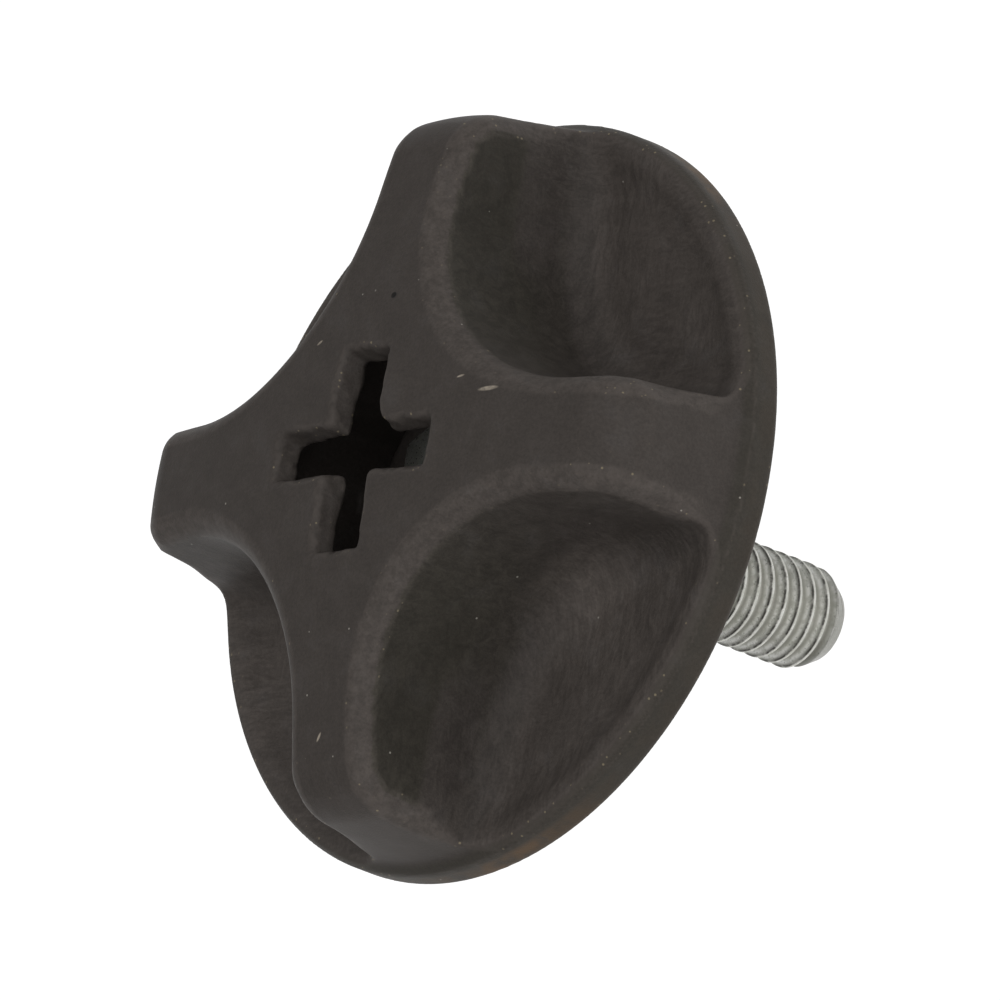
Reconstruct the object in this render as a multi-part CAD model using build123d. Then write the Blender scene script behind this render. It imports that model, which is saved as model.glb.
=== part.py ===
"""Star-knob thumb screw: a moulded plastic head on a steel M6 stud.

Millimetres. The origin is on the screw axis at the seating face of the boss, +Z runs out of the
face of the head, and the stud points along -Z. One arm of the star lies along +X.
"""
from build123d import *
from math import ceil, radians, sin, sqrt, tan
import os

# head, outside
knob_radius = 21.25
rim_bottom = 1.7
rim_top = 3.7
rim_bevel = 0.5
crown_height = 14.35
crown_radius = 78.0
arm_end_radius = 19.7
arm_end_height = 12.0
arm_foot_radius = 20.75
arm_end_bevel = 1.3
arm_half_width = 3.1
valley_radius = 12.0
star_bevel = 0.8

# finger pockets
pocket_floor = 2.9
pocket_radius = 19.9
pocket_draft = 3.0
pocket_foot_rounding = 2.3
lip_top = 3.8
lip_slope_width = 0.9

# head, inside
wall = 1.7
crown_wall = 1.5
skirt_bottom = 1.1
skirt_radius = 19.2
boss_radius = 7.0
boss_top = 5.6
boss_edge = 0.4
web_radius = 8.6
web_thickness = 1.5
web_width = 8.2
plate_radius = 9.9
plate_top = 2.6
valley_rib_width = 1.6
arm_rib_width = 1.3

# cross slot through the crown
slot_middle_x = 0.3
slot_middle_y = -0.2
slot_length_x = 12.4
slot_length_y = 11.6
slot_width_along_x = 2.9
slot_width_along_y = 3.75
slot_corner = 0.3
slot_taper = 16.7
slot_depth = 2.6

# stud
stud_length = 20.3
shank_radius = 3.0
shank_length = 2.0
thread_pitch = 1.0
thread_crest_radius = 2.95
thread_root_radius = 2.4
thread_crest_width = 0.16
thread_crest_rounding = 0.06
thread_base_width = 0.82
thread_base_depth = 0.15
tip_radius = 2.2
tip_length = 1.3
collar_radius = 3.5
anchor_bottom = 1.9
anchor_height = 4.0
anchor_flats = 10.0

clear = 30.0


def crown_z(radius, depth=0.0):
    """Height at a radius of the domed crown, or of the sphere this depth inside it."""
    return crown_height - crown_radius + sqrt((crown_radius - depth) ** 2 - radius**2)


def end_wall_radius(z):
    """Radius at a height of the steep wall that closes the arms."""
    lean = (arm_foot_radius - arm_end_radius) / (arm_end_height - rim_top)
    return arm_foot_radius - (z - rim_top) * lean


def crown_arc(end_radius, depth=0.0):
    """Half the section of the crown, from the axis out to a radius."""
    middle = end_radius / 2
    return ThreePointArc(
        (0, crown_z(0, depth)), (middle, crown_z(middle, depth)), (end_radius, crown_z(end_radius, depth))
    )


def turned(*edges):
    """The solid of revolution about the screw axis of a closed section drawn in X and Z."""
    return revolve(make_face(Plane.XZ * Curve(edges)), Axis.Z, 360)


def four_times(feature):
    """A feature and its copies in the other three quarters."""
    return [feature.rotate(Axis.Z, 90 * quarter) for quarter in range(4)]


def tower():
    """The head before its pockets are cut: domed crown, steep arm ends, rim and skirt."""
    crown_end = arm_end_radius - arm_end_bevel
    bevel_foot = crown_z(arm_end_radius) - arm_end_bevel
    outside = Polyline(
        (crown_end, crown_z(crown_end)),
        (end_wall_radius(bevel_foot), bevel_foot),
        (arm_foot_radius, rim_top),
        (knob_radius, rim_top - rim_bevel),
        (knob_radius, rim_bottom),
        (skirt_radius, rim_bottom),
        (skirt_radius, skirt_bottom),
        (0, skirt_bottom),
        (0, crown_height),
    )
    return turned(crown_arc(crown_end), outside)


def valley_arc(side, radius):
    """The round corner between two arms whose sides are this far from their middle lines."""
    centre = side + radius
    near = centre - radius * sin(radians(45))
    return ThreePointArc((side, centre), (near, near), (centre, side))


def finger_pocket():
    """The pocket between the +X and +Y arms: drafted walls, a rounded foot and a lip at the rim."""
    widening = (clear - crown_z(0)) * tan(radians(pocket_draft))
    side = arm_half_width - widening
    radius = valley_radius + widening
    centre = side + radius
    reach = 2 * clear
    far_sides = Polyline((centre, side), (reach, side), (reach, reach), (side, reach), (side, centre))
    outline = make_face(Curve([valley_arc(side, radius), far_sides]))
    walls = extrude(Plane.XY.offset(clear) * outline, pocket_floor - clear, taper=pocket_draft)
    floor_edges = walls.edges().group_by(Axis.Z)[0]
    inner_edges = [edge for edge in floor_edges if edge.center().length < clear]
    walls = fillet(inner_edges, pocket_foot_rounding)
    foot_radius = pocket_radius - lip_slope_width
    lip = Polyline(
        (0, skirt_bottom),
        (foot_radius, skirt_bottom),
        (foot_radius, pocket_floor),
        (pocket_radius, lip_top),
        (reach, lip_top),
        (reach, reach),
        (0, reach),
        (0, skirt_bottom),
    )
    return walls & turned(lip)


def hollow():
    """The space inside the star, open below, one wall inside the outer surface."""
    foot_inset = wall - (crown_z(0) - skirt_bottom) * tan(radians(pocket_draft))
    side = arm_half_width - foot_inset
    radius = valley_radius + foot_inset
    quarter = [
        Line((knob_radius, -side), (knob_radius, side)),
        Line((knob_radius, side), (side + radius, side)),
        valley_arc(side, radius),
        Line((side, side + radius), (side, knob_radius)),
    ]
    outline = [edge.rotate(Axis.Z, 90 * turn) for turn in range(4) for edge in quarter]
    star = Plane.XY.offset(skirt_bottom) * make_face(Curve(outline))
    prism = extrude(star, crown_z(0) - skirt_bottom, taper=pocket_draft)
    end_radius = arm_end_radius - wall - arm_end_bevel / 2
    foot_radius = arm_foot_radius - wall
    inside = Polyline(
        (end_radius, crown_z(end_radius, crown_wall)),
        (foot_radius, rim_top),
        (foot_radius, 0),
        (0, 0),
        (0, crown_z(0, crown_wall)),
    )
    return prism & turned(crown_arc(end_radius, crown_wall), inside)


def boss():
    """The round post that holds the stud. Its lower end is the seating face."""
    post = Cylinder(boss_radius, boss_top, align=(Align.CENTER, Align.CENTER, Align.MIN))
    return chamfer(post.edges().sort_by(Axis.Z)[0], boss_edge)


def chamber():
    """The webs across the arms and the plate round the boss, which close off the middle of the hollow."""
    upright = (Align.MIN, Align.CENTER, Align.MIN)
    height = crown_z(web_radius + web_thickness) - skirt_bottom - crown_wall / 2
    web = Pos(web_radius, 0, skirt_bottom) * Box(web_thickness, web_width, height, align=upright)
    thickness = plate_top - skirt_bottom
    plate = Cylinder(plate_radius, thickness, align=(Align.CENTER, Align.CENTER, Align.MIN))
    return four_times(web) + [Pos(0, 0, skirt_bottom) * plate]


def ribs():
    """Upright ribs that join the boss to the valleys and to the arm ends."""
    height = boss_top - skirt_bottom
    upright = (Align.MIN, Align.CENTER, Align.MIN)
    start = boss_radius - 1
    foot = Pos(start, 0, skirt_bottom)
    arm_rib = foot * Box(arm_end_radius - start, arm_rib_width, height, align=upright)
    valley_reach = (arm_half_width + valley_radius) * sqrt(2) - valley_radius
    valley_rib = foot * Box(valley_reach - start, valley_rib_width, height, align=upright)
    return four_times(arm_rib) + four_times(valley_rib.rotate(Axis.Z, 45))


def cross_slot():
    """The tapered cross-shaped opening through the crown, its arms in line with those of the star."""
    slot = []
    for size in ((slot_length_x, slot_width_along_x), (slot_width_along_y, slot_length_y)):
        outline = RectangleRounded(*size, slot_corner)
        top = Pos(slot_middle_x, slot_middle_y, crown_height) * outline
        slot.append(extrude(top, -slot_depth, taper=slot_taper))
    return slot


def anchor():
    """The part of the stud that is moulded into the boss: a collar and a hexagonal head."""
    collar = Cylinder(collar_radius, anchor_bottom, align=(Align.CENTER, Align.CENTER, Align.MIN))
    hexagon = Plane.XY.offset(anchor_bottom) * RegularPolygon(
        anchor_flats / 2, 6, major_radius=False, rotation=30
    )
    return collar + extrude(hexagon, anchor_height)


def thread_ridge():
    """One right-hand helical ridge, from beyond the tip up into the shank."""
    bottom = -ceil(stud_length / thread_pitch) * thread_pitch - thread_pitch
    top = thread_pitch - shank_length
    helix = Helix(thread_pitch, top - bottom, thread_root_radius, center=(0, 0, bottom))
    flank_end = thread_crest_radius - thread_root_radius - thread_crest_rounding
    base = thread_base_width / 2
    crest = thread_crest_width / 2
    section = [
        Polyline(
            (flank_end, crest),
            (0, base),
            (-thread_base_depth, base),
            (-thread_base_depth, -base),
            (0, -base),
            (flank_end, -crest),
        ),
        ThreePointArc((flank_end, -crest), (flank_end + thread_crest_rounding, 0), (flank_end, crest)),
    ]
    across = Plane(origin=helix @ 0, x_dir=(1, 0, 0), z_dir=helix % 0)
    return sweep(make_face(across * Curve(section)), path=helix, is_frenet=True)


def threaded_stud():
    """The steel screw: threaded length with a coned tip, plain shank, and anchor."""
    core = Pos(0, 0, -stud_length) * Cylinder(
        thread_root_radius, stud_length, align=(Align.CENTER, Align.CENTER, Align.MIN)
    )
    envelope = Polyline(
        (0, 0),
        (shank_radius, 0),
        (shank_radius, tip_length - stud_length),
        (tip_radius, -stud_length),
        (0, -stud_length),
        (0, 0),
    )
    threaded = (core + thread_ridge()) & turned(envelope)
    shank_chamfer = shank_radius - thread_root_radius
    shank = Polyline(
        (0, 0),
        (shank_radius, 0),
        (shank_radius, -shank_length),
        (thread_root_radius, -shank_length - shank_chamfer),
        (0, -shank_length - shank_chamfer),
        (0, 0),
    )
    return threaded + turned(shank) + anchor()


def knob_head():
    """The moulded head, closed around the stud's collar and anchor."""
    head = tower()
    for pocket in four_times(finger_pocket()):
        head -= pocket
    crown = head.faces().sort_by(Axis.Z)[-1]
    head = chamfer(crown.outer_wire().edges().filter_by(GeomType.BSPLINE), star_bevel)
    head -= hollow()
    for piece in ribs() + chamber() + [boss()]:
        head += piece
    for arm in cross_slot():
        head -= arm
    return head - anchor()


def write(node, shape):
    """Write one sub-part as parts/NODE.step."""
    shape.label = node
    export_step(shape, f"parts/{node}.step")


os.makedirs("parts", exist_ok=True)
write("knob_head", knob_head())
write("threaded_stud", threaded_stud())
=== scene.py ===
"""Looks of the star-knob thumb screw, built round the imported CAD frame.

Lengths in this script are millimetres unless a name says otherwise, and are turned into metres when a
mesh is made. The head is described as a signed distance, one function per feature, and meshed once.
"""
import math

import bpy
import numpy as np
from mathutils import Matrix, Vector

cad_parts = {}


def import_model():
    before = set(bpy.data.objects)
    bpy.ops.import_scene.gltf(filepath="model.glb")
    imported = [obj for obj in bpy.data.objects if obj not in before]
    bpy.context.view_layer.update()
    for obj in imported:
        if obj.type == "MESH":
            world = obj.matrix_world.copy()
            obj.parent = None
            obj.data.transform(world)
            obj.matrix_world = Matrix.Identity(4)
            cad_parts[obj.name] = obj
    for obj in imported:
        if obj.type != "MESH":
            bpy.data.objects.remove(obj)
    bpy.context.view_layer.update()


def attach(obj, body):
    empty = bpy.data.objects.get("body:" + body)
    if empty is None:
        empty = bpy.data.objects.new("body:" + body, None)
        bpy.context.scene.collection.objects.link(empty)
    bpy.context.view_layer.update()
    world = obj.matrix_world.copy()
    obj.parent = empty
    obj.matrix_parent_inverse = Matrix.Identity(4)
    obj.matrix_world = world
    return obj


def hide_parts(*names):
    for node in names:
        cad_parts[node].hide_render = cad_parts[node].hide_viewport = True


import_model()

MM = 0.001

# head, outside
KNOB_RADIUS = 21.25
RIM_BOTTOM, RIM_TOP = 1.7, 3.7
CROWN_HEIGHT, CROWN_RADIUS = 14.35, 78.0
ARM_END_RADIUS, ARM_END_Z, ARM_FOOT_RADIUS = 19.7, 12.0, 20.75
ARM_END_BEVEL = 1.3
ARM_HALF_WIDTH, VALLEY_RADIUS = 3.1, 12.0
DRAFT = math.tan(math.radians(3.0))
STAR_BEVEL = 0.8
RIM_ROUNDING, RIM_FOOT_ROUNDING = 0.6, 0.4

# finger pockets
POCKET_FLOOR, POCKET_RADIUS = 2.9, 19.9
LIP_TOP, LIP_SLOPE_WIDTH = 3.8, 0.9
FLOOR_RISE = 0.35
FOOT_ROUNDING, LIP_FOOT_ROUNDING = 2.3, 1.3

# head, inside
WALL, CROWN_WALL = 1.7, 1.5
SKIRT_BOTTOM, SKIRT_RADIUS = 1.1, 19.2
BOSS_RADIUS, BOSS_TOP = 7.0, 5.6
WEB_RADIUS, WEB_THICKNESS = 8.6, 1.5
PLATE_RADIUS, PLATE_TOP = 9.9, 2.6
ARM_RIB, VALLEY_RIB = 1.3, 1.6

# cross slot
SLOT_MIDDLE = (0.3, -0.2)
SLOT_X, SLOT_Y = 12.4, 11.6
SLOT_WIDTH_ALONG_X, SLOT_WIDTH_ALONG_Y, SLOT_TAPER = 2.9, 3.75, 0.30
SLOT_CORNER, SLOT_WORN_CORNER = 0.3, 1.3

# stud
STUD_LENGTH, SHANK_RADIUS, SHANK_LENGTH = 20.3, 3.0, 2.0
PITCH, CREST_RADIUS, ROOT_RADIUS = 1.0, 2.95, 2.4
CREST_HALF_WIDTH, FLANK_RUN = 0.08, 0.34
CREST_ROUNDING, ROOT_ROUNDING = 0.02, 0.03
CREST_GROOVE_DEPTH, CREST_GROOVE_WIDTH = 0.045, 0.035
TIP_RADIUS, TIP_LENGTH = 2.2, 1.3
COLLAR_RADIUS = 3.5
ANCHOR_BOTTOM, ANCHOR_HEIGHT, ANCHOR_FLATS = 1.9, 4.0, 10.0

# how fine the meshes are
FULL_STEP, QUICK_STEP = 0.22, 0.3
STUD_POINTS_ROUND, STUD_RISE = 128, 0.04


# ---------------------------------------------------------------- shaping tools
def both(a, b, rounding):
    """Inside both shapes, the outer edge between them rounded to this radius."""
    return np.minimum(np.maximum(a, b), -rounding) + np.hypot(
        np.maximum(a + rounding, 0), np.maximum(b + rounding, 0)
    )


def either(a, b, rounding):
    """Inside either shape, the inner corner between them rounded to this radius."""
    return -both(-a, -b, rounding)


def bevelled(a, b, width, rounding):
    """Inside both shapes, a flat bevel of this width along the edge between them."""
    bevel = (a + b + width) / math.sqrt(2)
    return both(both(a, b, rounding), bevel, rounding)


def ease(x, low, high):
    """0 below low, 1 above high, and a smooth step between them."""
    t = np.clip((x - low) / (high - low), 0, 1)
    return t * t * (3 - 2 * t)


def soft_noise(p, cell, seed):
    """Smooth random values from -1 to 1 that change over about this length."""
    table = np.random.default_rng(seed).uniform(-1, 1, 4096).astype(np.float32)
    q = p / cell + 100.0
    base = np.floor(q).astype(np.int64)
    t = q - base
    t = t * t * (3 - 2 * t)
    total = 0
    for corner in range(8):
        step = np.array([corner & 1, corner >> 1 & 1, corner >> 2 & 1])
        key = (base + step) @ np.array([73856093, 19349663, 83492791])
        weight = np.prod(np.where(step, t, 1 - t), axis=-1)
        total = total + weight * table[(key ^ key >> 13) % 4096]
    return total


def box_distance(p, centre, half):
    """Distance to an upright box."""
    q = np.abs(p - np.array(centre, p.dtype)) - np.array(half, p.dtype)
    return np.linalg.norm(np.maximum(q, 0), axis=-1) + np.minimum(q.max(axis=-1), 0)


# ---------------------------------------------------------------- the head's shape
def star_distance(p):
    """The four arms seen from above, drafted, with round valleys between them."""
    grow = (CROWN_HEIGHT - p[:, 2]) * DRAFT
    centre = ARM_HALF_WIDTH + VALLEY_RADIUS
    away = np.minimum(np.abs(p[:, :2]) - centre, 0)
    return VALLEY_RADIUS - grow - np.hypot(away[:, 0], away[:, 1])


def crown_distance(p):
    centre = np.array([0, 0, CROWN_HEIGHT - CROWN_RADIUS], p.dtype)
    return np.linalg.norm(p - centre, axis=-1) - CROWN_RADIUS


def end_wall_distance(r, z):
    """The steep cone that closes the arms."""
    run, fall = ARM_FOOT_RADIUS - ARM_END_RADIUS, ARM_END_Z - RIM_TOP
    length = math.hypot(run, fall)
    return ((r - ARM_END_RADIUS) * fall + (z - ARM_END_Z) * run) / length


def tower_distance(p, r, z):
    """The head before its pockets: crown, end wall, rim and skirt."""
    rim = both(r - KNOB_RADIUS, z - RIM_TOP, RIM_ROUNDING)
    side = np.maximum(either(end_wall_distance(r, z), rim, 0.8), r - KNOB_RADIUS)
    outside = bevelled(crown_distance(p), side, ARM_END_BEVEL, 0.7)
    skirt = np.maximum(SKIRT_BOTTOM - z, r - SKIRT_RADIUS)
    return both(outside, np.minimum(RIM_BOTTOM - z, skirt), RIM_FOOT_ROUNDING)


def pocket_distance(p, r, z):
    """All four pockets: everything outside the star, above the floors and inside the lip."""
    floor = POCKET_FLOOR + FLOOR_RISE * ease(r, 12.0, 19.0)
    bowl = both(-star_distance(p), floor - z, FOOT_ROUNDING)
    slope = math.hypot(LIP_SLOPE_WIDTH, LIP_TOP - POCKET_FLOOR)
    across = ((POCKET_RADIUS - r) * (LIP_TOP - POCKET_FLOOR) + (z - LIP_TOP) * LIP_SLOPE_WIDTH) / slope
    lip = both(across, z - LIP_TOP, 0.1)
    return both(bowl, -lip, LIP_FOOT_ROUNDING)


def hollow_distance(p, r, z):
    """The space under the crown and in the arms, open below. Its ceiling is slightly wavy."""
    ceiling = crown_distance(p) + CROWN_WALL + 0.22 * soft_noise(p * (1, 1, 0.2), 2.2, 5)
    inside = both(ceiling, end_wall_distance(r, z) + WALL, 0.8)
    return both(inside, star_distance(p) + WALL, 0.6)


def frame_distance(p, r, z):
    """The boss and the ribs that carry it."""
    boss = np.maximum(r - BOSS_RADIUS, np.maximum(z - BOSS_TOP, -z))
    plate = np.maximum(r - PLATE_RADIUS, np.maximum(z - PLATE_TOP, SKIRT_BOTTOM - z))
    boss = either(boss, plate, 0.4)
    middle = (SKIRT_BOTTOM + BOSS_TOP) / 2
    half = (BOSS_TOP - SKIRT_BOTTOM) / 2
    reach = ARM_END_RADIUS - WALL / 2
    folded = np.abs(p)
    folded[:, 2] = z
    arm = np.minimum(
        box_distance(folded, (0, 0, middle), (reach, ARM_RIB / 2, half)),
        box_distance(folded, (0, 0, middle), (ARM_RIB / 2, reach, half)),
    )
    across, along = p[:, 0] + p[:, 1], p[:, 1] - p[:, 0]
    turned = np.stack([across, along, z * math.sqrt(2)], -1) / math.sqrt(2)
    valley_reach = (ARM_HALF_WIDTH + VALLEY_RADIUS) * math.sqrt(2) - VALLEY_RADIUS
    valley = np.minimum(
        box_distance(turned, (0, 0, middle), (valley_reach, VALLEY_RIB / 2, half)),
        box_distance(turned, (0, 0, middle), (VALLEY_RIB / 2, valley_reach, half)),
    )
    upper = (SKIRT_BOTTOM + CROWN_HEIGHT) / 2
    place, thin = WEB_RADIUS + WEB_THICKNESS / 2, WEB_THICKNESS / 2
    web = np.minimum(
        box_distance(folded, (place, 0, upper), (thin, 6.0, upper - 1.0)),
        box_distance(folded, (0, place, upper), (6.0, thin, upper - 1.0)),
    )
    web = np.maximum(web, star_distance(p) + WALL / 2)
    web = np.maximum(web, crown_distance(p) + WALL / 2)
    return either(boss, np.minimum(np.minimum(arm, valley), web), 0.4)


def slot_distance(p, z):
    """The cross through the crown, tapered, its edges left slightly uneven by the moulding."""
    uneven = 0.10 * soft_noise(p, 0.9, 3) + 0.05 * soft_noise(p, 0.35, 4)
    narrower = SLOT_TAPER * np.clip(-crown_distance(p), -0.5, 2.5)
    x, y = p[:, 0] - SLOT_MIDDLE[0], p[:, 1] - SLOT_MIDDLE[1]
    far_x, far_y = np.abs(x) + narrower, np.abs(y) + narrower
    along_x = both(far_x - SLOT_X / 2, far_y - SLOT_WIDTH_ALONG_X / 2, SLOT_CORNER)
    along_y = both(far_x - SLOT_WIDTH_ALONG_Y / 2, far_y - SLOT_Y / 2, SLOT_CORNER)
    corner = np.where((x > 0) & (y > 0), SLOT_WORN_CORNER, SLOT_CORNER)
    cross = either(along_x, along_y, corner) + uneven
    return np.maximum(cross, BOSS_TOP + 1.5 - z)


def anchor_distance(p, r, z):
    """The room in the boss for the stud's collar and hexagonal head."""
    turned = [np.abs(p[:, 0] * math.cos(a) + p[:, 1] * math.sin(a)) for a in np.radians((0, 60, 120))]
    hexagon = np.maximum.reduce(turned) - ANCHOR_FLATS / 2
    head = np.maximum(hexagon, np.maximum(ANCHOR_BOTTOM - z, z - ANCHOR_BOTTOM - ANCHOR_HEIGHT))
    collar = np.maximum(r - COLLAR_RADIUS, z - ANCHOR_BOTTOM - 0.1)
    return np.minimum(head, collar)


def head_distance(p):
    """Signed distance to the whole head, negative in the plastic."""
    r, z = np.hypot(p[:, 0], p[:, 1]), p[:, 2]
    height = ease(z, 4.5, 7.5)
    tower, pocket = tower_distance(p, r, z), pocket_distance(p, r, z)
    solid = bevelled(tower, -pocket, STAR_BEVEL * ease(z, 4.5, 8.5), 0.18 + 0.1 * height)
    solid = both(solid, -hollow_distance(p, r, z), 0.15)
    solid = either(solid, frame_distance(p, r, z), 0.3)
    solid = both(solid, -slot_distance(p, z), 0.3)
    return np.maximum(solid, -anchor_distance(p, r, z))


# ---------------------------------------------------------------- meshing
def sample(shape, low, high, step):
    """The shape's distance on a grid. Only points near the surface are worked out finely."""
    coarse_step = step * 4
    counts = np.ceil((high - low) / coarse_step).astype(int) + 1
    axes = [low[i] + coarse_step * np.arange(counts[i]) for i in range(3)]
    points = np.stack(np.meshgrid(*axes, indexing="ij"), -1).reshape(-1, 3)
    coarse = shape(points).reshape(counts)
    fine = np.kron(coarse, np.ones((4, 4, 4)))
    near = np.argwhere(np.abs(fine) < coarse_step * 2.6)
    grid_low = low - coarse_step / 2 + step / 2
    for part in np.array_split(near, 12):
        fine[tuple(part.T)] = shape(grid_low + part * step)
    return fine, grid_low


def skin(values, low, step):
    """Surface nets: one vertex in each cell the surface crosses, joined into quads."""
    inside = values < 0
    cells = tuple(n - 1 for n in values.shape)
    total, count = np.zeros(cells + (3,)), np.zeros(cells)

    def shifted(array, offset):
        return array[tuple(slice(o, o + n) for o, n in zip(offset, cells))]

    for axis in range(3):
        for u in (0, 1):
            for v in (0, 1):
                start = np.insert([u, v], axis, 0)
                end = np.insert([u, v], axis, 1)
                a, b = shifted(values, start), shifted(values, end)
                cut = shifted(inside, start) != shifted(inside, end)
                share = np.where(cut, a / np.where(cut, a - b, 1), 0)
                for i in range(3):
                    total[..., i] += np.where(cut, share if i == axis else start[i], 0)
                count += cut
    used = count > 0
    number = np.full(cells, -1)
    number[used] = np.arange(used.sum())
    corners = np.argwhere(used)
    points = low + step * (corners + total[used] / count[used][:, None])
    quads = []
    for axis in range(3):
        u, v = [(1, 2), (2, 0), (0, 1)][axis]
        inner = [slice(1, -1)] * 3
        inner[axis] = slice(0, -1)
        ahead = list(inner)
        ahead[axis] = slice(1, None)
        first, second = inside[tuple(inner)], inside[tuple(ahead)]
        crossing = np.argwhere(first != second) + np.array([0 if i == axis else 1 for i in range(3)])
        outward = inside[tuple(crossing.T)]
        ring = []
        for du, dv in ((1, 1), (0, 1), (0, 0), (1, 0)):
            cell = crossing.copy()
            cell[:, u] -= du
            cell[:, v] -= dv
            ring.append(number[tuple(cell.T)])
        ring = np.stack(ring, -1)
        quads.append(np.where(outward[:, None], ring, ring[:, ::-1]))
    return points, np.concatenate(quads)


def slope(shape, points, reach=0.02):
    """Which way the distance grows fastest, at each point."""
    grown = np.empty_like(points)
    for i in range(3):
        offset = np.zeros(3)
        offset[i] = reach
        grown[:, i] = (shape(points + offset) - shape(points - offset)) / (2 * reach)
    return grown


def settle(shape, points, rounds=3):
    """Move each point onto the surface along the slope."""
    for _ in range(rounds):
        grown = slope(shape, points)
        length = np.maximum((grown**2).sum(-1), 0.3)
        points = points - np.clip(shape(points) / length, -0.1, 0.1)[:, None] * grown
    return points


def mesh_object(name, points, faces):
    """A smooth-shaded mesh object, its points given in millimetres."""
    mesh = bpy.data.meshes.new(name)
    mesh.from_pydata((points * MM).tolist(), [], faces)
    mesh.validate()
    mesh.shade_smooth()
    piece = bpy.data.objects.new(name, mesh)
    bpy.context.collection.objects.link(piece)
    return piece


def build_head(step):
    margin = 3 * step
    low = np.array([-KNOB_RADIUS, -KNOB_RADIUS, 0]) - margin
    high = np.array([KNOB_RADIUS, KNOB_RADIUS, CROWN_HEIGHT]) + margin
    values, grid_low = sample(head_distance, low, high, step)
    points, faces = skin(values, grid_low, step)
    points = settle(head_distance, points)
    piece = mesh_object("knob_head_moulding", points, faces.tolist())
    record(piece, **head_marks(points))
    return piece


# ---------------------------------------------------------------- the stud's shape
# a painted shadow line and a painted highlight line on the head side of each crest: distance from the crest
# along the screw, and width
SHADOW_LINE_PLACE, SHADOW_LINE_WIDTH = 0.10, 0.055
GLEAM_PLACE, GLEAM_WIDTH = 0.24, 0.07


def crest_turn(angle, z):
    """Share of a turn of the right-hand thread at a place, 0.5 on the crest."""
    return (z / PITCH - angle / (2 * math.pi)) % 1.0


def thread_radius(angle, z):
    """Radius of the threaded length: rolled crests with a shallow groove, rounded roots."""
    away = np.abs(crest_turn(angle, z) - 0.5) * PITCH
    height = CREST_RADIUS - ROOT_RADIUS
    flank = CREST_RADIUS - (away - CREST_HALF_WIDTH) * height / FLANK_RUN
    crest = CREST_RADIUS - CREST_GROOVE_DEPTH * np.exp(-((away / CREST_GROOVE_WIDTH) ** 2))
    profile = -np.logaddexp(-crest / CREST_ROUNDING, -flank / CREST_ROUNDING) * CREST_ROUNDING
    return np.logaddexp(profile / ROOT_ROUNDING, ROOT_RADIUS / ROOT_ROUNDING) * ROOT_ROUNDING


def build_stud(around, rise):
    """The whole screw as one closed surface of rings, from the tip to the top of the anchor."""
    shank_end = -SHANK_LENGTH
    heights = [-STUD_LENGTH]
    heights += list(np.arange(-STUD_LENGTH + 0.02, shank_end, rise))
    heights += [shank_end, 0.0]
    z = np.array(heights)[:, None]
    angle = np.linspace(0, 2 * math.pi, around, endpoint=False)[None, :]
    radius = thread_radius(angle, z)
    cone = TIP_RADIUS + (z + STUD_LENGTH) * (SHANK_RADIUS - TIP_RADIUS) / TIP_LENGTH
    radius = np.minimum(radius, cone)
    fade = ease(z, shank_end - 1.2 * PITCH, shank_end - 0.1)
    radius = radius + (SHANK_RADIUS - radius) * fade
    rings = [np.stack([radius * np.cos(angle), radius * np.sin(angle), z + 0 * angle], -1)]
    corner = np.mod(angle + math.pi / 6, math.pi / 3) - math.pi / 6
    hexagon = ANCHOR_FLATS / 2 / np.cos(corner)
    top = ANCHOR_BOTTOM + ANCHOR_HEIGHT
    for reach, height in (
        (COLLAR_RADIUS, 0.0), (COLLAR_RADIUS, ANCHOR_BOTTOM), (hexagon, ANCHOR_BOTTOM), (hexagon, top),
    ):
        reach = reach + 0 * angle
        rings.append(np.stack([reach * np.cos(angle), reach * np.sin(angle), height + 0 * angle], -1))
    points = np.concatenate([ring.reshape(-1, 3) for ring in rings])
    count = len(points) // around
    first = np.arange(around)
    following = np.roll(first, -1)
    faces = []
    for row in range(count - 1):
        low, high = row * around, (row + 1) * around
        faces.append(np.stack([low + first, low + following, high + following, high + first], -1))
    points = np.concatenate([points, [[0, 0, -STUD_LENGTH], [0, 0, top]]])
    tip, cap = len(points) - 2, len(points) - 1
    last = (count - 1) * around
    faces = np.concatenate(faces).tolist()
    faces += np.stack([np.full(around, tip), following, first], -1).tolist()
    faces += np.stack([np.full(around, cap), last + first, last + following], -1).tolist()
    piece = mesh_object("stud", points, faces)
    record(piece, **stud_marks(points))
    return piece


def stud_marks(points):
    """The roots of the thread, the painted shadow line and the painted highlight line beside each crest,
    and the coned tip.
    """
    z = points[:, 2]
    reach = np.hypot(points[:, 0], points[:, 1])
    root = np.clip((CREST_RADIUS - reach) / (CREST_RADIUS - ROOT_RADIUS), 0, 1)
    beside = (crest_turn(np.arctan2(points[:, 1], points[:, 0]), z) - 0.5) * PITCH
    threaded = (z < -SHANK_LENGTH - 0.3) * (z > -STUD_LENGTH + TIP_LENGTH * 0.6)
    # painted shadow line just past each crest, painted highlight line further down the flank
    shadow_line = threaded * np.exp(-(((beside - SHADOW_LINE_PLACE) / SHADOW_LINE_WIDTH) ** 2))
    gleam = threaded * np.exp(-(((beside - GLEAM_PLACE) / GLEAM_WIDTH) ** 2))
    return dict(
        root=root * (z > -STUD_LENGTH + TIP_LENGTH * 0.5), shadow_line=shadow_line, gleam=gleam,
        tip=1 - ease(z, -STUD_LENGTH + 0.6, -STUD_LENGTH + 1.6),
    )


# ---------------------------------------------------------------- painting tools
def add(tree, kind, settings=None, output=0, **sockets):
    """Add a shader node, set its options, fill or link its named inputs, and give one output."""
    node = tree.nodes.new("ShaderNode" + kind)
    for name, value in (settings or {}).items():
        setattr(node, name, value)
    for name, value in sockets.items():
        fill(tree, node.inputs[name.replace("_", " ")], value)
    return node.outputs[output]


def fill(tree, socket, value):
    if isinstance(value, bpy.types.NodeSocket):
        tree.links.new(value, socket)
    else:
        socket.default_value = value


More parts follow.
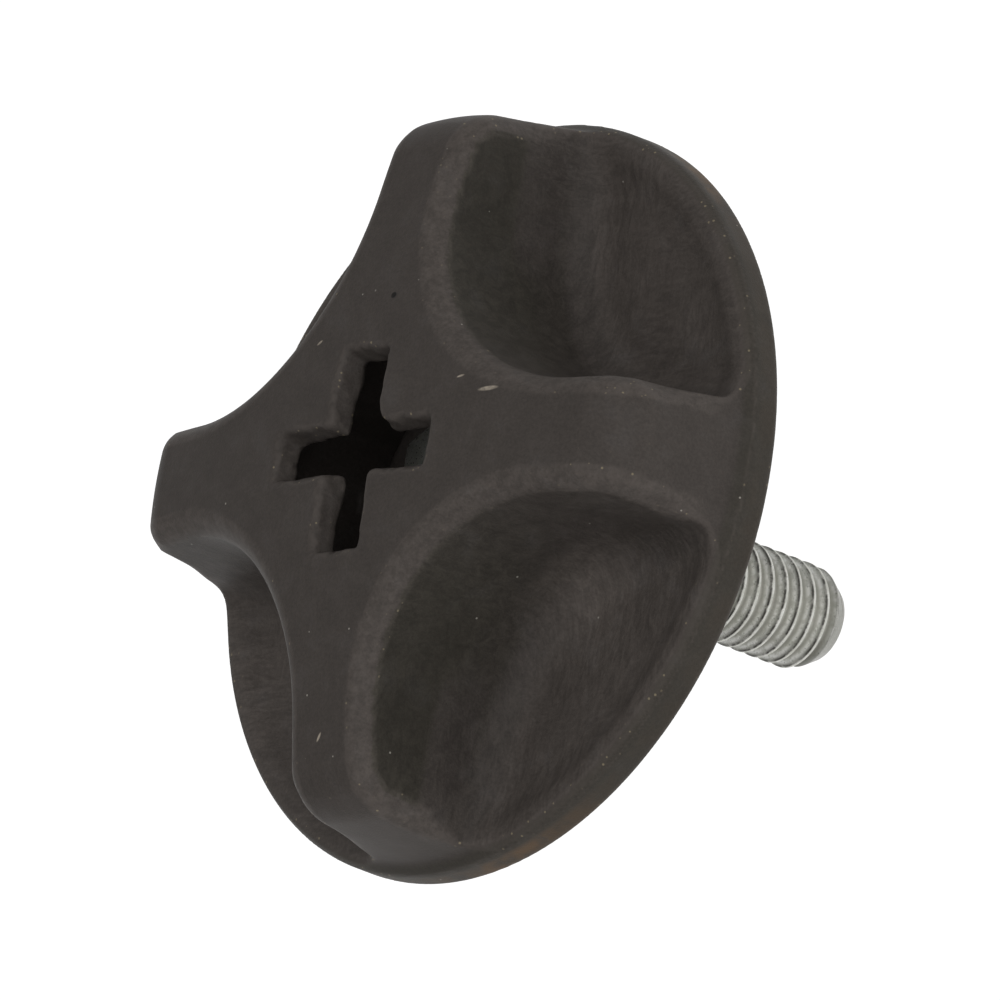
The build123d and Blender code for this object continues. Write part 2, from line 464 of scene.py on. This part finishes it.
def calc(tree, operation, *values):
    node = tree.nodes.new("ShaderNodeMath")
    node.operation = operation
    for i, value in enumerate(values):
        fill(tree, node.inputs[i], value)
    return node.outputs[0]


def blend(tree, share, a, b):
    """Colour a, turning into colour b as the share goes from 0 to 1."""
    node = tree.nodes.new("ShaderNodeMix")
    node.data_type = "RGBA"
    for i, value in ((0, share), (6, a), (7, b)):
        fill(tree, node.inputs[i], value)
    return node.outputs[2]


def ramp(tree, value, low, high, start=0.0, end=1.0):
    """Start below low, end above high, smooth between."""
    return add(
        tree, "MapRange", {"interpolation_type": "SMOOTHSTEP"},
        Value=value, From_Min=low, From_Max=high, To_Min=start, To_Max=end,
    )


def noise(tree, where, per_mm, detail=2.0, roughness=0.5, distortion=0.0):
    return add(
        tree, "TexNoise", None, Vector=where, Scale=per_mm, Detail=detail,
        Roughness=roughness, Distortion=distortion,
    )


def stretched(tree, where, scale, turn=0.0):
    return add(tree, "Mapping", None, Vector=where, Rotation=(0, 0, turn), Scale=scale)


def specks(tree, where, per_mm, size, share):
    """Small round spots: one in each cell of a scattered grid, kept in this share of the cells."""
    cells = tree.nodes.new("ShaderNodeTexVoronoi")
    fill(tree, cells.inputs["Vector"], where)
    cells.inputs["Scale"].default_value = per_mm
    chance = add(tree, "SeparateColor", None, Color=cells.outputs["Color"])
    lucky = ramp(tree, chance, 1 - share, 1.01 - share)
    return calc(tree, "MULTIPLY", lucky, ramp(tree, cells.outputs["Distance"], size * 0.6, size, 1.0, 0.0))


def scar(tree, where, centre, turn, half_length, half_width):
    """A slim mark on the crown, seen from above."""
    place = add(
        tree, "Mapping", {"vector_type": "TEXTURE"}, Vector=where, Location=(centre[0], centre[1], 0),
        Rotation=(0, 0, math.radians(turn)), Scale=(half_length, half_width, 1000),
    )
    away = add(tree, "VectorMath", {"operation": "LENGTH"}, output=1, Vector=place)
    height = add(tree, "SeparateXYZ", None, output=2, Vector=where)
    return calc(tree, "MULTIPLY", ramp(tree, away, 0.6, 1.1, 1.0, 0.0), ramp(tree, height, 11.0, 11.5))


def attribute(tree, name):
    return add(tree, "Attribute", {"attribute_name": name}, output=2)


def new_material(name):
    material = bpy.data.materials.new(name)
    material.use_nodes = True
    tree = material.node_tree
    coordinates = tree.nodes.new("ShaderNodeTexCoord").outputs["Object"]
    where = add(tree, "Mapping", None, Vector=coordinates, Scale=(1000, 1000, 1000))
    return material, tree, tree.nodes["Principled BSDF"], where


def record(piece, **values):
    """Keep one number per vertex for the materials to read."""
    for name, column in values.items():
        layer = piece.data.attributes.new(name, "FLOAT", "POINT")
        layer.data.foreach_set("value", np.asarray(column, np.float32))


# ---------------------------------------------------------------- materials
# painted light, paler patches on pocket floors: x, y, radius, how much paler
PAINTED_LIGHT_PATCHES = ((9.5, -5.0, 3.5, 0.75), (-17.0, -8.0, 5.0, 0.35))
# brown stretches of the rim's side: bearing of the middle and half width in degrees
BROWN_STRETCHES = ((-75, 15), (57, 10))
# pale nicks on the crown: place, turn in degrees, half length, half width
NICKS = (
    ((10.5, 2.47), 4, 0.75, 0.14), ((8.3, 3.3), 12, 0.3, 0.07), ((-0.1, -16.1), 55, 0.32, 0.09),
    ((-3.9, 6.2), 30, 0.25, 0.08), ((5.4, -8.9), -20, 0.22, 0.06),
)
# a pit on the crown; its near-black colour is painted shade
PIT = ((1.55, 8.47), 0, 0.24, 0.2)

# plastic
# the second colour is a darker copy of the plastic, painted shade on steep walls
FLAT_PLASTIC, PAINTED_SHADE_PLASTIC = (0.0480, 0.0412, 0.0368, 1), (0.0450, 0.0400, 0.0325, 1)
CLOUDY_PLASTIC, HANDLED_EDGE = (0.053, 0.049, 0.048, 1), (0.100, 0.085, 0.076, 1)
# the pit's near-black colour is painted shade
RIM_BROWN, PAINTED_PIT_SHADE = (0.095, 0.056, 0.027, 1), (0.012, 0.011, 0.010, 1)
DUST, CRUMB, NICK = (0.36, 0.34, 0.30, 1), (0.24, 0.20, 0.13, 1), (0.30, 0.26, 0.21, 1)

# steel
ZINC, DULL_ZINC, FINE_ZINC = (0.60, 0.60, 0.555, 1), (0.48, 0.485, 0.43, 1), (0.36, 0.36, 0.33, 1)
# painted shade for the roots, then painted highlights for the crests and the lines beside them
PAINTED_ROOT_SHADE, PAINTED_CREST_HIGHLIGHT, PAINTED_HIGHLIGHT = (0.31, 0.30, 0.265, 1), (0.86, 0.86, 0.83, 1), (0.90, 0.90, 0.87, 1)
# the first colour is the painted shadow line beside each crest
PAINTED_SHADOW_BLACK, TIP_GREY = (0.045, 0.042, 0.036, 1), (0.17, 0.168, 0.148, 1)


def head_marks(points):
    """One number per vertex for each tint of the plastic.

    sharp: outer edges. edge: the star's bevel. pocket: inside a pocket. floor: painted light, how much
    paler, on pocket floors.
    Painted shade, how much darker, on steep pocket walls and the rim's side. side: brown, on the rim's
    side.
    """
    p = points.astype(np.float64)
    r, z = np.hypot(p[:, 0], p[:, 1]), p[:, 2]
    reach = 0.15
    bend = -6 * head_distance(p)
    for i in range(3):
        for sign in (-reach, reach):
            offset = np.zeros(3)
            offset[i] = sign
            bend += head_distance(p + offset)
    bend /= reach * reach
    normal = slope(head_distance, p)
    normal /= np.maximum(np.linalg.norm(normal, axis=1), 0.01)[:, None]
    pocket = (np.abs(pocket_distance(p, r, z)) < 0.05) & (tower_distance(p, r, z) < -0.1)
    # painted shade: steep pocket walls are made darker, most high up and where they face along x; band
    # keeps a lighter strip low on the outer walls, painted light
    steep = ease(1 - np.abs(normal[:, 2]), 0.35, 0.8)
    band = ease(z, 4.2, 5.4) * (1 - ease(z, 7.4, 8.6)) * ease(r, 10.5, 14.0)
    painted_shade = pocket * steep * (0.55 + 0.45 * ease(z, 5.0, 9.0)) * (1 - 0.8 * band)
    painted_shade *= 0.25 + 0.75 * normal[:, 0] ** 2
    # painted light: upward-facing pocket floors, and the patches listed above, are made paler
    floor = 0.22 * pocket * ease(normal[:, 2], 0.75, 0.97)
    for x, y, radius, share in PAINTED_LIGHT_PATCHES:
        away = ((p[:, 0] - x) ** 2 + (p[:, 1] - y) ** 2) / radius**2
        floor += share * np.exp(-away) * pocket * (1 - ease(z, 5.2, 7.0))
    # painted shade on the rim's side too
    painted_shade = np.maximum(painted_shade, 0.6 * ease(r, 20.6, 21.0))
    to_edge = np.abs(tower_distance(p, r, z)) + np.abs(pocket_distance(p, r, z))
    edge = (1 - ease(to_edge, 0.85, 1.4)) * ease(z, 4.5, 6.5)
    bearing = np.degrees(np.arctan2(p[:, 1], p[:, 0]))
    brown = sum(np.exp(-(((bearing - middle) / half) ** 2)) for middle, half in BROWN_STRETCHES)
    side = ease(r, 20.7, 21.1) * (1 - ease(z, 2.8, 3.4)) * (0.08 + brown)
    sharp = np.clip(bend / 3.5, 0, 1)
    return dict(sharp=sharp, edge=edge, pocket=pocket, floor=floor, painted_shade=painted_shade, side=side)


def make_plastic():
    """Dark matte moulding: fine grain, handled edges, a bevel lightened partly by wear and partly as
    painted highlight, painted shade on pocket walls, painted light on pocket floors, pale specks, nicks and
    a pit coloured as painted shade.
    """
    material, tree, shader, where = new_material("moulded_plastic")
    sharp, pocket, floor = (attribute(tree, n) for n in ("sharp", "pocket", "floor"))
    edge, painted_shade, side = (attribute(tree, n) for n in ("edge", "painted_shade", "side"))
    grain = noise(tree, where, 5.5, 4, 0.65)
    mottle = noise(tree, where, 0.5, 5, 0.6, 0.4)
    one_way = noise(tree, stretched(tree, where, (2.6, 0.7, 1.2), 0.3), 1.0, 5, 0.7, 0.8)
    other_way = noise(tree, stretched(tree, where, (0.7, 2.6, 1.2), -0.2), 1.0, 5, 0.7, 0.8)
    swirl = ramp(tree, noise(tree, where, 0.14, 1), 0.4, 0.6)
    strokes = calc(
        tree, "ADD", calc(tree, "MULTIPLY", one_way, swirl),
        calc(tree, "MULTIPLY", other_way, calc(tree, "SUBTRACT", 1.0, swirl)),
    )
    in_pocket = calc(tree, "MULTIPLY_ADD", pocket, 0.8, 0.2)
    stroke_tone = calc(tree, "MULTIPLY_ADD", ramp(tree, strokes, 0.3, 0.7, -0.18, 0.22), in_pocket, 1.0)
    tone = calc(tree, "MULTIPLY", stroke_tone, ramp(tree, grain, 0.25, 0.75, 0.86, 1.14))
    tone = calc(tree, "MULTIPLY", tone, ramp(tree, mottle, 0.25, 0.75, 0.92, 1.08))
    # painted shade: darker on steep pocket walls and the rim's side
    tone = calc(tree, "MULTIPLY", tone, calc(tree, "MULTIPLY_ADD", painted_shade, -0.30, 1.0))
    # painted light: paler pocket floors
    tone = calc(tree, "MULTIPLY", tone, calc(tree, "ADD", floor, 1.0))
    broken = noise(tree, where, 1.8, 5, 0.7)
    # the star's bevel is lightened: partly handling wear, partly painted highlight
    rubbed_and_highlit = calc(tree, "MULTIPLY", edge, ramp(tree, broken, 0.35, 0.65, 0.10, 0.42))
    tone = calc(tree, "MULTIPLY", tone, calc(tree, "ADD", rubbed_and_highlit, 1.0))
    # painted shade: steep walls take the darker copy of the plastic
    body = blend(tree, ramp(tree, painted_shade, 0.1, 0.8), FLAT_PLASTIC, PAINTED_SHADE_PLASTIC)
    body = blend(tree, ramp(tree, mottle, 0.5, 0.75, 0.0, 0.25), body, CLOUDY_PLASTIC)
    body = add(tree, "VectorMath", {"operation": "SCALE"}, Vector=body, Scale=tone)
    worn = calc(tree, "MULTIPLY_ADD", calc(tree, "SUBTRACT", broken, 0.5), 0.9, sharp)
    worn = calc(tree, "MULTIPLY", ramp(tree, worn, 0.15, 1.2), 0.26)
    colour = blend(tree, worn, body, HANDLED_EDGE)
    # the rim's side turns brown in stretches
    brown_side = calc(tree, "MULTIPLY", side, ramp(tree, noise(tree, where, 0.35, 4, 0.6), 0.35, 0.6, 0.1, 0.75))
    colour = blend(tree, brown_side, colour, RIM_BROWN)
    dust = specks(tree, where, 0.9, 0.065, 0.11)
    crumbs = calc(
        tree, "MULTIPLY", specks(tree, where, 3.2, 0.28, 0.22), ramp(tree, sharp, 0.35, 0.8)
    )
    colour = blend(tree, calc(tree, "MULTIPLY", dust, 0.6), colour, DUST)
    colour = blend(tree, calc(tree, "MULTIPLY", crumbs, 0.55), colour, CRUMB)
    for nick in NICKS:
        mark = scar(tree, where, *nick)
        patchy = calc(tree, "MULTIPLY", mark, ramp(tree, broken, 0.3, 0.6, 0.4, 1.0))
        colour = blend(tree, patchy, colour, NICK)
    # painted shade: the pit is coloured near black
    pit = scar(tree, where, *PIT)
    colour = blend(tree, pit, colour, PAINTED_PIT_SHADE)
    tree.links.new(colour, shader.inputs["Base Color"])
    roughness = calc(tree, "MULTIPLY_ADD", grain, 0.22, 0.46)
    roughness = calc(tree, "MULTIPLY_ADD", worn, -0.15, roughness)
    tree.links.new(roughness, shader.inputs["Roughness"])
    shader.inputs["Specular IOR Level"].default_value = 0.11
    fine = noise(tree, where, 9.0, 3, 0.6)
    relief = calc(tree, "MULTIPLY_ADD", calc(tree, "MULTIPLY", strokes, in_pocket), 1.2, fine)
    relief = calc(tree, "MULTIPLY_ADD", pit, -2.0, relief)
    bump = add(tree, "Bump", None, Strength=0.55, Distance=0.00004, Height=relief)
    tree.links.new(bump, shader.inputs["Normal"])
    return material


def make_steel():
    """Zinc-plated steel: warm grey, painted shade in the roots, darker tip, painted highlight along the
    crests, and a painted shadow line and a painted highlight line by each crest.
    """
    material, tree, shader, where = new_material("plated_steel")
    root, shadow_line, gleam, tip = (attribute(tree, n) for n in ("root", "shadow_line", "gleam", "tip"))
    cloud = noise(tree, where, 1.1, 5, 0.65, 0.5)
    fine = noise(tree, where, 7.0, 4, 0.7)
    around = noise(tree, stretched(tree, where, (1.0, 1.0, 9.0)), 1.6, 4, 0.6)
    zinc = blend(tree, ramp(tree, cloud, 0.3, 0.7), ZINC, DULL_ZINC)
    zinc = blend(tree, ramp(tree, fine, 0.45, 0.75, 0.0, 0.35), zinc, FINE_ZINC)
    # painted shade in the thread roots
    root_shade = calc(tree, "MULTIPLY", ramp(tree, root, 0.45, 0.95), ramp(tree, cloud, 0.2, 0.6, 0.9, 0.55))
    colour = blend(tree, root_shade, zinc, PAINTED_ROOT_SHADE)
    # painted highlight along the crests
    crest = calc(tree, "MULTIPLY", ramp(tree, root, 0.0, 0.22, 1.0, 0.0), ramp(tree, around, 0.4, 0.6))
    colour = blend(tree, calc(tree, "MULTIPLY", crest, 0.35), colour, PAINTED_CREST_HIGHLIGHT)
    patchy = ramp(tree, noise(tree, where, 1.6, 4, 0.7), 0.4, 0.56, 0.25, 1.0)
    # painted highlight line beside each crest
    colour = blend(tree, calc(tree, "MULTIPLY", gleam, patchy), colour, PAINTED_HIGHLIGHT)
    # painted shadow line beside each crest
    colour = blend(tree, calc(tree, "MULTIPLY", shadow_line, patchy), colour, PAINTED_SHADOW_BLACK)
    colour = blend(tree, calc(tree, "MULTIPLY", tip, 0.8), colour, TIP_GREY)
    tree.links.new(colour, shader.inputs["Base Color"])
    shader.inputs["Metallic"].default_value = 0.6
    roughness = ramp(tree, fine, 0.3, 0.7, 0.24, 0.46)
    roughness = calc(tree, "MULTIPLY_ADD", root_shade, 0.25, roughness)
    tree.links.new(roughness, shader.inputs["Roughness"])
    relief = calc(tree, "MULTIPLY_ADD", around, 0.7, fine)
    bump = add(tree, "Bump", None, Strength=0.5, Distance=0.00003, Height=relief)
    tree.links.new(bump, shader.inputs["Normal"])
    return material


# ---------------------------------------------------------------- camera, stage and light
RIM_MIDDLE = Vector((0, 0, 3.1))
VIEW_RIGHT = Vector((0.6532, 0.1585, -0.7405))
VIEW_UP = Vector((0.0857, 0.9561, 0.2803))
FRAME_WIDTH = 54.21
CAMERA_DISTANCE = 300
FRAME_RIGHT, FRAME_UP = 0.125, 0.136
FLOOR_SIZE, FLOOR_HEIGHT, FLOOR_GLOW = 2000, -90, 0.42
WORLD_STRENGTH = 0.50
KEY_TOWARD, KEY_DISTANCE, KEY_SIZE, KEY_POWER = (0.60, -0.08, 0.80), 0.6, 0.8, 2.4


def make_camera():
    """A long lens, taken as parallel, that looks down on the face of the head from its right."""
    right = VIEW_RIGHT.normalized()
    back = right.cross(VIEW_UP).normalized()
    up = back.cross(right)
    data = bpy.data.cameras.new("camera")
    data.type = "ORTHO"
    data.ortho_scale = FRAME_WIDTH * MM
    data.clip_start, data.clip_end = 0.001, 10
    camera = bpy.data.objects.new("camera", data)
    place = (RIM_MIDDLE + back * CAMERA_DISTANCE + right * FRAME_RIGHT + up * FRAME_UP) * MM
    camera.matrix_world = Matrix.Translation(place) @ Matrix((right, up, back)).transposed().to_4x4()
    bpy.context.collection.objects.link(camera)
    bpy.context.scene.camera = camera


def make_floor():
    """A plain pale floor under the tip of the stud."""
    reach, height = FLOOR_SIZE * MM, FLOOR_HEIGHT * MM
    mesh = bpy.data.meshes.new("floor")
    corners = [(x * reach, y * reach, height) for x, y in ((-1, -1), (1, -1), (1, 1), (-1, 1))]
    mesh.from_pydata(corners, [], [(0, 1, 2, 3)])
    floor = bpy.data.objects.new("floor", mesh)
    bpy.context.collection.objects.link(floor)
    material, tree, shader, where = new_material("floor")
    cloth = noise(tree, where, 0.02, 3)
    colour = blend(tree, cloth, (0.90, 0.90, 0.90, 1), (0.92, 0.92, 0.92, 1))
    tree.links.new(colour, shader.inputs["Base Color"])
    tree.links.new(ramp(tree, cloth, 0.0, 1.0, 0.85, 0.95), shader.inputs["Roughness"])
    shader.inputs["Emission Color"].default_value = (1, 1, 1, 1)
    shader.inputs["Emission Strength"].default_value = FLOOR_GLOW
    mesh.materials.append(material)


def area_light(name, toward, distance, size, power):
    """A square soft light, in metres and watts, that looks at the head."""
    data = bpy.data.lights.new(name, "AREA")
    data.size, data.energy = size, power
    light = bpy.data.objects.new(name, data)
    direction = Vector(toward).normalized()
    light.location = direction * distance
    light.rotation_mode = "QUATERNION"
    light.rotation_quaternion = direction.to_track_quat("Z", "Y")
    bpy.context.collection.objects.link(light)


def make_light():
    """An even white surround and one large soft light from the right of the face."""
    world = bpy.data.worlds.new("studio")
    world.use_nodes = True
    world.node_tree.nodes["Background"].inputs["Color"].default_value = (1, 1, 1, 1)
    world.node_tree.nodes["Background"].inputs["Strength"].default_value = WORLD_STRENGTH
    bpy.context.scene.world = world
    area_light("key", KEY_TOWARD, KEY_DISTANCE, KEY_SIZE, KEY_POWER)
    bpy.context.scene.view_settings.view_transform = "Standard"


make_camera()
make_floor()
make_light()
head = build_head(FULL_STEP)
stud = build_stud(STUD_POINTS_ROUND, STUD_RISE)
head.data.materials.append(make_plastic())
stud.data.materials.append(make_steel())
for piece, slot, node in ((head, "moulded_plastic", "knob_head"), (stud, "plated_steel", "threaded_stud")):
    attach(piece, "root")
    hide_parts(node)
